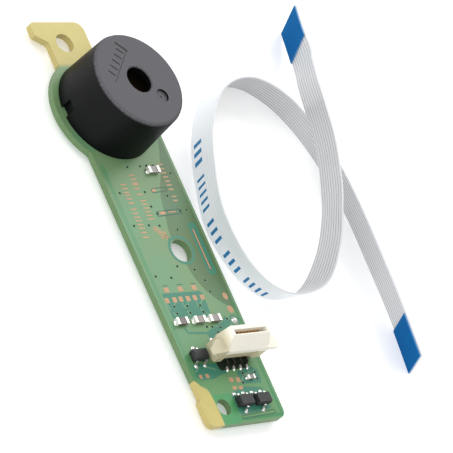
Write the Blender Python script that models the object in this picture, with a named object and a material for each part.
"""Touch-switch circuit board with a piezo sounder, and its loose eight-way ribbon cable.

Lengths are in millimetres and become metres when a mesh is made. Board pieces are measured from the sounder's
axis on the board's top face: +X across the board, +Y towards the mounting tab, +Z up. The empty
"board_datum" puts them in the shared frame, where the board's solder tips stand at height zero.
"""
import math

import bmesh
import bpy
import numpy as np
from mathutils import Vector

MM = 0.001
FIT_GAP = 0.02  # air between two pieces that touch on the real object

BOARD_DATUM = (-0.1, 13.5, 1.5)

# Circuit board
BOARD_THICKNESS = 0.8
BOARD_RIGHT_X = 6.65
BOARD_FRONT_Y = -38.6
SOUNDER_END_RADIUS = 7.0
TAB_LEFT_X = -3.85
TAB_RIGHT_X = 2.15
TAB_END_Y = 11.6
# The left edge from the front corner up to the sounder end: x, y, corner radius
BOARD_LEFT_EDGE = [(-4.75, BOARD_FRONT_Y, 0.8), (-4.75, -35.6, 0.1), (-4.35, -35.2, 0.1), (-4.6, -20.0, 0.0)]
BOARD_NECK_X = -4.7
BOARD_NECK_RADIUS = 1.0
BOARD_CORNER_RADIUS = 1.0
# The tab's end, with its small nub on the left: x, y, corner radius
TAB_END = [(TAB_LEFT_X, 8.9, 0.5), (-5.5, 9.9, 0.3), (-5.5, TAB_END_Y, 0.5), (TAB_RIGHT_X, TAB_END_Y, 1.1)]
# Screw and guide holes: x, y, radius
BOARD_HOLES = [(-1.60, 8.87, 1.175), (2.06, -17.79, 1.37), (-1.70, -36.56, 0.93)]
PIN_HOLE_RADIUS = 0.42

# Piezo sounder, a standard can of 12.2 mm by 6.5 mm on pins 5 mm apart
CASE_HEIGHT = 6.5
CASE_FOOT_RADIUS = 6.2
CASE_RIM_RADIUS = 5.92
CASE_RIM_ROUND = 0.45
CASE_BORE_RADIUS = 5.45
CASE_ROOF = 0.9
SOUND_HOLE_RADIUS = 1.6
POLARITY_DIMPLE = (2.31, -2.11)
POLARITY_DIMPLE_RADIUS = 0.82
POLARITY_DIMPLE_DEPTH = 0.25
FOOT_NOTCH = (0.45, 1.3, 1.6)  # depth into the wall, width, height
BASE_RADIUS = 5.38
BASE_FLOOR = (0.15, 0.95)
BASE_RING = (4.2, 4.8)
BASE_RING_TOP = 4.2
PLATE_RADIUS = 5.0
PLATE_THICKNESS = 0.2
CERAMIC_RADIUS = 3.3
CERAMIC_THICKNESS = 0.25
PIN_RADIUS = 0.3
PIN_OFFSET = 2.5
PIN_TIP_Z = -1.5
PLATE_CONTACT_OFFSET = 3.75
SOLDER_ROOT_RADIUS = 0.95
SOLDER_TIP_RADIUS = 0.45
SOLDER_TIP_Z = -1.38

# Vertical ribbon connector: eight ways, 0.5 mm apart. Here +Y points to the row of contacts.
CONNECTOR_AT = (2.30, -30.5, 0.0)
WAYS = 8
PITCH = 0.5
HOUSING_HALF_LENGTH = 3.4
HOUSING_BACK_Y = 1.1
HOUSING_FRONT_Y = -1.1
HOUSING_WAIST_Y = -0.8
HOUSING_WAIST_HALF_LENGTH = 2.3
HOUSING_Z = (0.64, 2.27)
HOUSING_SLOT_Y = (-0.1, 0.75)
SLOT_HALF_LENGTH = 2.4
STANDOFF = (2.7, 0.5, 1.3)  # x of its centre, length, width
LEG = (2.85, 0.5, 0.8)  # x of its centre, length, width
LEG_FOOT_Z = 1.1
POCKET_FLOOR_Z = 0.95
RUNNING_GAP = 0.05
SLIDER_TOP_Z = 4.3
SLIDER_SHOULDER_Z = 2.75
SLIDER_FOOT_Z = HOUSING_Z[1] + FIT_GAP
SLIDER_SLOT_Y = (0.2, 0.75)
TONGUE_Y = (-0.05, 0.18)
TONGUE_HALF_LENGTH = 2.2
TONGUE_FOOT_Z = 1.2
EAR_END_X = 4.85
EAR_Y = (-1.12, 0.5)
EAR_CHAMFER = 0.75
EAR_Z = (2.35, 3.05)
EAR_END_Z = 2.75
CONTACT_WIDTH = 0.2
CONTACT_THICKNESS = 0.14
CONTACT_Y = 0.65
CONTACT_TOP_Z = 3.7
CONTACT_FOOT_Y = 1.95

# Transistors in three-lead packages: x, y, and the side that carries the single lead
TRANSISTORS = [(-2.48, -30.5, 1), (1.18, -36.3, -1), (3.76, -36.35, -1)]
TRANSISTOR_BODY = (2.0, 1.25)
TRANSISTOR_Z = (0.1, 0.52, 0.92)
LEAD_PAIR_OFFSET = 0.65
LEAD_WIDTH = 0.3
LEAD_THICKNESS = 0.12

# Chip resistors and capacitors along X: x, y, length, width, height
CHIPS = [
    (2.94, -7.78, 1.6, 0.8, 0.47),
    (-2.58, -26.3, 1.6, 0.8, 0.47),
    (0.05, -26.3, 1.6, 0.8, 0.47),
    (2.29, -26.3, 1.6, 0.8, 0.47),
    (3.82, -33.57, 1.0, 0.5, 0.36),
]
CHIP_CAP_WALL = 0.05
CHIP_CAP_SHARE = 0.2  # each end cap's reach, as a share of the chip's length

# Ribbon cable, standing on its lower edge. The route is its lower edge's centre line in the shared frame.
RIBBON_WIDTH = 4.5
RIBBON_THICKNESS = 0.2
RIBBON_STATIONS = 72
STIFFENER_LENGTH = 5.5
STIFFENER_THICKNESS = 0.15
RIBBON_LIFT = 0.06  # keeps the leaning strip's lower corner above the floor
# x, y, height of the lower edge, lean in degrees to the left of the way along
RIBBON_ROUTE = [
    (30.2, -21.3, 0.0, 24),
    (31.1, -14.3, 0.0, 25),
    (31.5, -7.3, 0.0, 24),
    (31.7, -0.3, 0.0, 24),
    (31.0, 5.6, 0.0, 22),
    (29.6, 10.4, 0.0, 21),
    (27.3, 14.3, 0.0, 20),
    (23.7, 16.9, 0.0, 20),
    (19.7, 16.9, 0.0, 16),
    (15.6, 14.3, 0.0, 5),
    (12.1, 9.4, 0.0, -4),
    (9.8, 3.8, 0.0, -8),
    (8.6, -1.5, 0.0, -12),
    (9.7, -6.9, 0.0, -20),
    (12.4, -10.3, 0.3, -23),
    (16.8, -10.4, 1.1, -17),
    (20.3, -7.2, 2.6, -4),
    (22.6, -3.1, 4.0, 7),
    (23.9, 0.6, 4.8, 10),
    (25.1, 4.4, 5.3, 13),
    (26.3, 8.2, 5.2, 16),
    (28.0, 11.7, 4.2, 17),
    (30.1, 14.9, 2.9, 17),
    (32.9, 18.7, 1.3, 16),
    (35.4, 24.4, 0.0, 15),
]

# Colour, roughness and metallic of each material
LOOKS = {
    "laminate": ((0.20, 0.42, 0.22), 0.45, 0.0),
    "black_plastic": ((0.02, 0.02, 0.022), 0.5, 0.0),
    "cream_plastic": ((0.85, 0.80, 0.68), 0.45, 0.0),
    "beige_plastic": ((0.72, 0.62, 0.48), 0.5, 0.0),
    "brass": ((0.80, 0.60, 0.28), 0.35, 1.0),
    "gold": ((0.90, 0.66, 0.30), 0.3, 1.0),
    "tin": ((0.75, 0.75, 0.74), 0.35, 1.0),
    "ceramic": ((0.85, 0.83, 0.78), 0.5, 0.0),
    "chip": ((0.35, 0.34, 0.34), 0.5, 0.0),
    "ribbon": ((0.70, 0.71, 0.73), 0.5, 0.0),
    "stiffener": ((0.02, 0.13, 0.40), 0.5, 0.0),
}


def clear_scene():
    for item in list(bpy.data.objects):
        bpy.data.objects.remove(item)


def look(name):
    """The Principled material of this name, made on first use."""
    if name in bpy.data.materials:
        return bpy.data.materials[name]
    colour, roughness, metallic = LOOKS[name]
    made = bpy.data.materials.new(name)
    made.use_nodes = True
    shader = made.node_tree.nodes["Principled BSDF"]
    shader.inputs["Base Color"].default_value = (*colour, 1.0)
    shader.inputs["Roughness"].default_value = roughness
    shader.inputs["Metallic"].default_value = metallic
    made.diffuse_color = (*colour, 1.0)
    return made


def datum(name, at, parent=None):
    """An empty that other pieces are measured from."""
    empty = bpy.data.objects.new(name, None)
    empty.location = Vector(at) * MM
    empty.parent = parent
    bpy.context.collection.objects.link(empty)
    return empty


def finish(name, points, faces, look_name, parent=None, at=(0.0, 0.0, 0.0), smooth=False):
    """A named object from points in millimetres, its faces turned to face out."""
    shape = bmesh.new()
    corners = [shape.verts.new(Vector(point) * MM) for point in points]
    for face in faces:
        shape.faces.new([corners[index] for index in face])
    bmesh.ops.recalc_face_normals(shape, faces=shape.faces)
    mesh = bpy.data.meshes.new(name)
    shape.to_mesh(mesh)
    shape.free()
    if smooth:
        mesh.shade_smooth()
        mesh.set_sharp_from_angle(angle=math.radians(35))
    mesh.materials.append(look(look_name))
    made = bpy.data.objects.new(name, mesh)
    made.location = Vector(at) * MM
    made.parent = parent
    bpy.context.collection.objects.link(made)
    return made


def boolean(target, tool, operation):
    """Joins or cuts target with a tool that is then hidden."""
    step = target.modifiers.new(tool.name, "BOOLEAN")
    step.operation = operation
    step.solver = "EXACT"
    step.object = tool
    tool.hide_render = True
    tool.display_type = "WIRE"


def loft_faces(count, rings, closed=False):
    """Faces of a skin over equal rings of points, with a cap on each end unless the rings close on themselves."""
    faces = []
    for ring in range(rings if closed else rings - 1):
        near = ring * count
        far = (ring + 1) % rings * count
        for step in range(count):
            after = (step + 1) % count
            faces.append((near + step, near + after, far + after, far + step))
    if not closed:
        faces.append(tuple(range(count)))
        faces.append(tuple(range((rings - 1) * count, rings * count)))
    return faces


def loft(name, rings, look_name, **placing):
    """A solid skin over a list of equal rings of points."""
    points = [point for ring in rings for point in ring]
    return finish(name, points, loft_faces(len(rings[0]), len(rings)), look_name, **placing)


def prism(name, outline, low, high, look_name, **placing):
    """An outline in X and Y, raised from one height to another."""
    rings = [[(x, y, height) for x, y in outline] for height in (low, high)]
    return loft(name, rings, look_name, **placing)


def block(name, low, high, look_name, **placing):
    """A box between two opposite corners."""
    outline = [(low[0], low[1]), (high[0], low[1]), (high[0], high[1]), (low[0], high[1])]
    return prism(name, outline, low[2], high[2], look_name, **placing)


def arc(centre, radius, start, end, steps):
    """Points along an arc, from a start angle to an end angle in degrees."""
    angles = [math.radians(start + (end - start) * step / steps) for step in range(steps + 1)]
    return [(centre[0] + radius * math.cos(a), centre[1] + radius * math.sin(a)) for a in angles]


def rounded(corners, steps=6):
    """The closed run through (x, y, radius) corners, rounding each corner that has a radius."""
    run = []
    for index, (x, y, radius) in enumerate(corners):
        if radius == 0.0:
            run.append((x, y))
            continue
        corner = Vector((x, y))
        back = (Vector(corners[index - 1][:2]) - corner).normalized()
        onward = (Vector(corners[(index + 1) % len(corners)][:2]) - corner).normalized()
        half_angle = back.angle(onward) / 2
        centre = corner + (back + onward).normalized() * (radius / math.sin(half_angle))
        reach = radius / math.tan(half_angle)
        start = corner + back * reach - centre
        end = corner + onward * reach - centre
        start_angle = math.degrees(math.atan2(start.y, start.x))
        turn = math.degrees(math.atan2(end.y, end.x)) - start_angle
        turn = (turn + 180.0) % 360.0 - 180.0
        run += arc(centre, radius, start_angle, start_angle + turn, steps)
    return run


def rounded_box_outline(low, high, radius, steps=4):
    corners = [(low[0], low[1], radius), (high[0], low[1], radius), (high[0], high[1], radius), (low[0], high[1], radius)]
    return rounded(corners, steps)


def circle(centre, radius, steps):
    return arc(centre, radius, 0.0, 360.0, steps)[:-1]


def disc(name, radius, low, high, look_name, centre=(0.0, 0.0), steps=48, **placing):
    return prism(name, circle(centre, radius, steps), low, high, look_name, smooth=True, **placing)


def lathe(name, profile, look_name, steps=48, **placing):
    """A closed (radius, height) profile turned about Z."""
    points = []
    for step in range(steps):
        angle = 2.0 * math.pi * step / steps
        points += [(radius * math.cos(angle), radius * math.sin(angle), height) for radius, height in profile]
    return finish(name, points, loft_faces(len(profile), steps, closed=True), look_name, smooth=True, **placing)


def band_outline(path, thickness):
    """The outline of a bent strip seen edge on, from the line along its middle."""
    middle = [Vector(point) for point in path]
    left = []
    right = []
    for index, point in enumerate(middle):
        back = (point - middle[index - 1]).normalized() if index else None
        onward = (middle[index + 1] - point).normalized() if index + 1 < len(middle) else None
        back = back or onward
        onward = onward or back
        normal = (back.orthogonal() + onward.orthogonal()).normalized()
        shift = normal * (thickness / 2 / normal.dot(onward.orthogonal()))
        left.append(tuple(point + shift))
        right.append(tuple(point - shift))
    return left + right[::-1]


def strip(name, path, thickness, width, look_name, across="X", **placing):
    """A flat metal strip bent along a path, with its width across X or across Y."""
    outline = band_outline(path, thickness)
    rings = []
    for side in (-width / 2, width / 2):
        if across == "X":
            rings.append([(side, along, height) for along, height in outline])
        else:
            rings.append([(along, side, height) for along, height in outline])
    return loft(name, rings, look_name, **placing)


def wire(name, path, radius, look_name, steps=16, **placing):
    """A round wire in the YZ plane, bent along a path of (y, z) points."""
    sides = band_outline(path, 2 * radius)
    count = len(path)
    rings = []
    for index in range(count):
        left = Vector(sides[index])
        right = Vector(sides[2 * count - 1 - index])
        middle = (left + right) / 2
        reach = (left - right) / 2
        ring = []
        for step in range(steps):
            angle = 2.0 * math.pi * step / steps
            spot = middle + reach * math.cos(angle)
            ring.append((radius * math.sin(angle), spot.x, spot.y))
        rings.append(ring)
    return loft(name, rings, look_name, smooth=True, **placing)


def end_circle_angle(x):
    """Where the sounder end's circle reaches this x on its +Y half, in degrees."""
    return math.degrees(math.acos(x / SOUNDER_END_RADIUS))


def board_outline():
    """Clockwise from the front left corner: left edge, sounder end, tab, right edge."""
    neck_angle = 360.0 - end_circle_angle(BOARD_NECK_X)
    neck = (BOARD_NECK_X, SOUNDER_END_RADIUS * math.sin(math.radians(neck_angle)), BOARD_NECK_RADIUS)
    left_run = arc((0, 0), SOUNDER_END_RADIUS, neck_angle - 4.0, end_circle_angle(TAB_LEFT_X), 24)
    right_run = arc((0, 0), SOUNDER_END_RADIUS, end_circle_angle(TAB_RIGHT_X), end_circle_angle(BOARD_RIGHT_X), 12)
    corners = BOARD_LEFT_EDGE + [neck] + [(x, y, 0.0) for x, y in left_run] + TAB_END
    corners += [(x, y, 0.0) for x, y in right_run]
    corners.append((BOARD_RIGHT_X, BOARD_FRONT_Y, BOARD_CORNER_RADIUS))
    return rounded(corners)


def add_board(board):
    pcb = prism("pcb", board_outline(), -BOARD_THICKNESS, 0.0, "laminate", parent=board)
    holes = BOARD_HOLES + [(0.0, side * PIN_OFFSET, PIN_HOLE_RADIUS) for side in (-1, 1)]
    for number, (x, y, radius) in enumerate(holes):
        drill = disc(f"drill_{number}", radius, -2.0, 1.0, "laminate", centre=(x, y), steps=40, parent=board)
        boolean(pcb, drill, "DIFFERENCE")


def add_sounder(board):
    rim = arc((CASE_RIM_RADIUS - CASE_RIM_ROUND, CASE_HEIGHT - CASE_RIM_ROUND), CASE_RIM_ROUND, 0.0, 90.0, 6)
    roof_z = CASE_HEIGHT - CASE_ROOF
    profile = [(CASE_FOOT_RADIUS, FIT_GAP), *rim, (SOUND_HOLE_RADIUS + 0.12, CASE_HEIGHT)]
    profile += [(SOUND_HOLE_RADIUS, CASE_HEIGHT - 0.12), (SOUND_HOLE_RADIUS, roof_z)]
    profile += [(CASE_BORE_RADIUS, roof_z), (CASE_BORE_RADIUS, FIT_GAP)]
    case = lathe("buzzer_case", profile, "black_plastic", steps=64, parent=board)
    dimple_floor = CASE_HEIGHT - POLARITY_DIMPLE_DEPTH
    dimple = disc("dimple_cutter", POLARITY_DIMPLE_RADIUS, dimple_floor, 8.0, "black_plastic",
                  centre=POLARITY_DIMPLE, steps=28, parent=board)
    boolean(case, dimple, "DIFFERENCE")
    depth, width, height = FOOT_NOTCH
    notch = block("notch_cutter", (-CASE_FOOT_RADIUS - 1.0, -width / 2, -1.0),
                  (-CASE_FOOT_RADIUS + depth, width / 2, height), "black_plastic", parent=board)
    boolean(case, notch, "DIFFERENCE")

    base = disc("buzzer_base", BASE_RADIUS, *BASE_FLOOR, "black_plastic", parent=board)
    ring_in, ring_out = BASE_RING
    root_z = BASE_FLOOR[1] - 0.4
    wall = [(ring_in, root_z), (ring_out, root_z), (ring_out, BASE_RING_TOP), (ring_in, BASE_RING_TOP)]
    ring = lathe("base_ring", wall, "black_plastic", parent=board)
    boolean(base, ring, "UNION")
    for side in (-1, 1):
        drill = disc(f"base_drill_{side + 2}", PIN_RADIUS + RUNNING_GAP, -1.0, 2.0, "black_plastic",
                     centre=(0.0, side * PIN_OFFSET), steps=20, parent=board)
        boolean(base, drill, "DIFFERENCE")

    plate_z = BASE_RING_TOP + FIT_GAP
    disc("buzzer_plate", PLATE_RADIUS, plate_z, plate_z + PLATE_THICKNESS, "brass", parent=board)
    ceramic_top = plate_z - FIT_GAP
    ceramic_foot = ceramic_top - CERAMIC_THICKNESS
    disc("buzzer_ceramic", CERAMIC_RADIUS, ceramic_foot, ceramic_top, "ceramic", parent=board)

    # One pin stands under the ceramic; the other bends out to reach the brass plate.
    straight = [(-PIN_OFFSET, PIN_TIP_Z), (-PIN_OFFSET, ceramic_foot - FIT_GAP)]
    bend = PLATE_CONTACT_OFFSET - PIN_OFFSET
    bent = [(PIN_OFFSET, PIN_TIP_Z), (PIN_OFFSET, 1.8), (PIN_OFFSET + bend, 3.1)]
    bent.append((PIN_OFFSET + bend, plate_z - FIT_GAP))
    for number, path in enumerate((straight, bent), 1):
        wire(f"buzzer_pin_{number}", path, PIN_RADIUS, "tin", parent=board)
        root_z = -BOARD_THICKNESS - FIT_GAP
        bore = PIN_RADIUS + FIT_GAP
        cone = [(bore, root_z), (SOLDER_ROOT_RADIUS, root_z), (SOLDER_ROOT_RADIUS * 0.92, root_z - 0.06)]
        cone += [(0.62, root_z - 0.26), (SOLDER_TIP_RADIUS, SOLDER_TIP_Z), (bore, SOLDER_TIP_Z)]
        lathe(f"buzzer_solder_{number}", cone, "tin", steps=28, parent=board,
              at=(0.0, (2 * number - 3) * PIN_OFFSET, 0.0))


def add_housing(connector):
    back, front, waist = HOUSING_BACK_Y, HOUSING_FRONT_Y, HOUSING_WAIST_Y
    end, waist_end = HOUSING_HALF_LENGTH, HOUSING_WAIST_HALF_LENGTH
    corners = [(-end, back, 0.1), (-end, front, 0.1), (-waist_end, front, 0.1), (-waist_end, waist, 0.1)]
    corners += [(-x, y, radius) for x, y, radius in corners[::-1]]
    housing = prism("connector_housing", rounded(corners, 3), *HOUSING_Z, "beige_plastic", parent=connector)
    slot_front, slot_back = HOUSING_SLOT_Y
    slot = block("housing_slot", (-SLOT_HALF_LENGTH, slot_front, 0.0), (SLOT_HALF_LENGTH, slot_back, 3.0),
                 "beige_plastic", parent=connector)
    boolean(housing, slot, "DIFFERENCE")
    for side in (-1, 1):
        x, length, width = LEG
        half = (length / 2 + RUNNING_GAP, width / 2 + RUNNING_GAP)
        pocket = block(f"housing_pocket_{side + 2}", (side * x - half[0], -half[1], POCKET_FLOOR_Z),
                       (side * x + half[0], half[1], 3.0), "beige_plastic", parent=connector)
        boolean(housing, pocket, "DIFFERENCE")
        x, length, width = STANDOFF
        foot = block(f"housing_foot_{side + 2}", (side * x - length / 2, -width / 2, FIT_GAP),
                     (side * x + length / 2, width / 2, HOUSING_Z[0] + 0.15), "beige_plastic", parent=connector)
        boolean(housing, foot, "UNION")


def add_slider(connector):
    """The cream slider that clamps the ribbon. It slides up and down on its two legs."""
    levels = [
        (SLIDER_FOOT_Z, 3.3, -1.15, 1.25),
        (SLIDER_SHOULDER_Z, 3.22, -1.1, 1.25),
        (SLIDER_TOP_Z - 0.06, 2.8, 0.03, 1.25),
        (SLIDER_TOP_Z, 2.72, 0.09, 1.19),
    ]
    rings = []
    for height, half_length, front, back in levels:
        outline = rounded_box_outline((-half_length, front), (half_length, back), 0.16)
        rings.append([(x, y, height) for x, y in outline])
    slider = loft("connector_slider", rings, "cream_plastic", parent=connector)
    slot_front, slot_back = SLIDER_SLOT_Y
    slot = block("slider_slot", (-SLOT_HALF_LENGTH, slot_front, 1.0), (SLOT_HALF_LENGTH, slot_back, 5.0),
                 "cream_plastic", parent=connector)
    boolean(slider, slot, "DIFFERENCE")
    root_z = SLIDER_FOOT_Z + 0.2
    tongue = block("slider_tongue", (-TONGUE_HALF_LENGTH, TONGUE_Y[0], TONGUE_FOOT_Z),
                   (TONGUE_HALF_LENGTH, TONGUE_Y[1], root_z), "cream_plastic", parent=connector)
    boolean(slider, tongue, "UNION")
    x, length, width = LEG
    for side in (-1, 1):
        leg = block(f"slider_leg_{side + 2}", (side * x - length / 2, -width / 2, LEG_FOOT_Z),
                    (side * x + length / 2, width / 2, root_z), "cream_plastic", parent=connector)
        boolean(slider, leg, "UNION")
        ear = add_ear(f"slider_ear_{side + 2}", side, connector)
        boolean(slider, ear, "UNION")


def add_ear(name, side, connector):
    """A finger grip at one end of the slider, cut across its back corner and falling towards its tip."""
    root_x = 2.9
    corners = [
        (root_x, EAR_Y[0], 0.0),
        (EAR_END_X, EAR_Y[0], 0.3),
        (EAR_END_X, EAR_Y[1] - EAR_CHAMFER, 0.25),
        (EAR_END_X - EAR_CHAMFER, EAR_Y[1], 0.2),
        (root_x, EAR_Y[1], 0.0),
    ]
    outline = rounded(corners)
    fall = (EAR_Z[1] - EAR_END_Z) / (EAR_END_X - root_x)
    lower = [(side * x, y, EAR_Z[0]) for x, y in outline]
    upper = [(side * x, y, EAR_Z[1] - fall * (x - root_x)) for x, y in outline]
    return loft(name, [lower, upper], "cream_plastic", parent=connector)


def add_contacts(connector):
    """Eight blades in one row. Their tails go out to the back and the front by turns."""
    for way in range(WAYS):
        outward = 1 if way % 2 == 0 else -1
        corners = [
            (CONTACT_Y, CONTACT_TOP_Z),
            (CONTACT_Y, 0.5),
            (outward * 1.3, 0.5),
            (outward * 1.42, 0.1),
            (outward * CONTACT_FOOT_Y, 0.1),
        ]
        at = ((way - (WAYS - 1) / 2) * PITCH, 0.0, 0.0)
        strip(f"connector_contact_{way + 1}", corners, CONTACT_THICKNESS, CONTACT_WIDTH, "gold",
              parent=connector, at=at)


def add_transistors(board):
    half_x, half_y = TRANSISTOR_BODY[0] / 2, TRANSISTOR_BODY[1] / 2
    for number, (x, y, single_side) in enumerate(TRANSISTORS, 1):
        rings = []
        for height, inset in zip(TRANSISTOR_Z, (0.06, 0.0, 0.08)):
            outline = rounded_box_outline((inset - half_x, inset - half_y), (half_x - inset, half_y - inset), 0.06, 3)
            rings.append([(u, v, height) for u, v in outline])
        loft(f"transistor_{number}_body", rings, "black_plastic", parent=board, at=(x, y, 0.0))
        leads = [(0.0, single_side), (-LEAD_PAIR_OFFSET, -single_side), (LEAD_PAIR_OFFSET, -single_side)]
        for lead, (offset, side) in enumerate(leads, 1):
            path = [(0.65, 0.5), (0.78, 0.5), (0.86, 0.08), (1.06, 0.08)]
            path = [(side * along, height) for along, height in path]
            strip(f"transistor_{number}_lead_{lead}", path, LEAD_THICKNESS, LEAD_WIDTH, "tin",
                  parent=board, at=(x + offset, y, 0.0))


def add_chips(board):
    """Chip resistors: a ceramic slab with a metal cap folded round each end."""
    wall = CHIP_CAP_WALL
    for number, (x, y, length, width, height) in enumerate(CHIPS, 1):
        low = FIT_GAP + wall + FIT_GAP
        high = height - wall - FIT_GAP
        half = length / 2 - wall - FIT_GAP
        block(f"chip_{number}_body", (-half, -width / 2, low), (half, width / 2, high), "chip",
              parent=board, at=(x, y, 0.0))
        mouth = length * (0.5 - CHIP_CAP_SHARE)
        for side, label in ((-1, "left"), (1, "right")):
            end = length / 2 - wall / 2
            foot = FIT_GAP + wall / 2
            head = height - wall / 2
            path = [(side * mouth, foot), (side * end, foot), (side * end, head), (side * mouth, head)]
            strip(f"chip_{number}_cap_{label}", path, wall, width, "tin", across="Y", parent=board, at=(x, y, 0.0))


def smooth_route(steps=8):
    """The ribbon's route with points added between the stated ones on a smooth curve."""
    stated = np.array(RIBBON_ROUTE, dtype=float)
    first = 2 * stated[0] - stated[1]
    last = 2 * stated[-1] - stated[-2]
    stated = np.vstack([first, stated, last])
    dense = []
    for a, b, c, d in zip(stated, stated[1:], stated[2:], stated[3:]):
        for t in np.arange(steps) / steps:
            dense.append(b + 0.5 * t * (c - a + t * (2 * a - 5 * b + 4 * c - d + t * (3 * b - a - 3 * c + d))))
    dense.append(stated[-2])
    dense = np.array(dense)
    dense[:, 2] = np.maximum(dense[:, 2], 0.0)
    return dense


def ribbon_rings(route, start, end, count, side_low, side_high):
    """Rings of the strip between two distances along it, and between two offsets to its left."""
    places = route[:, :3]
    travelled = np.concatenate([[0.0], np.cumsum(np.linalg.norm(np.diff(places, axis=0), axis=1))])
    way = np.gradient(places, travelled, axis=0)
    rings = []
    for distance in np.linspace(start, end, count):
        spot = Vector([np.interp(distance, travelled, places[:, axis]) for axis in range(3)])
        ahead = Vector([np.interp(distance, travelled, way[:, axis]) for axis in range(3)]).normalized()
        lean = math.radians(np.interp(distance, travelled, route[:, 3]))
        left = Vector((0.0, 0.0, 1.0)).cross(ahead).normalized()
        upright = ahead.cross(left)
        up_strip = upright * math.cos(lean) + left * math.sin(lean)
        out = left * math.cos(lean) - upright * math.sin(lean)
        low = spot + Vector((0.0, 0.0, RIBBON_LIFT))
        high = low + up_strip * RIBBON_WIDTH
        rings.append([low + out * side_low, low + out * side_high, high + out * side_high, high + out * side_low])
    return rings


def add_ribbon():
    route = smooth_route()
    total = float(np.linalg.norm(np.diff(route[:, :3], axis=0), axis=1).sum())
    half = RIBBON_THICKNESS / 2
    loft("ribbon_cable", ribbon_rings(route, 0.0, total, RIBBON_STATIONS, -half, half), "ribbon", smooth=True)
    backing = (half + FIT_GAP, half + FIT_GAP + STIFFENER_THICKNESS)
    ends = [(0.0, STIFFENER_LENGTH), (total - STIFFENER_LENGTH, total)]
    for number, (start, end) in enumerate(ends, 1):
        loft(f"ribbon_stiffener_{number}", ribbon_rings(route, start, end, 7, *backing), "stiffener", smooth=True)


clear_scene()
board = datum("board_datum", BOARD_DATUM)
connector = datum("connector_datum", CONNECTOR_AT, parent=board)
add_board(board)
add_sounder(board)
add_housing(connector)
add_slider(connector)
add_contacts(connector)
add_transistors(board)
add_chips(board)
add_ribbon()
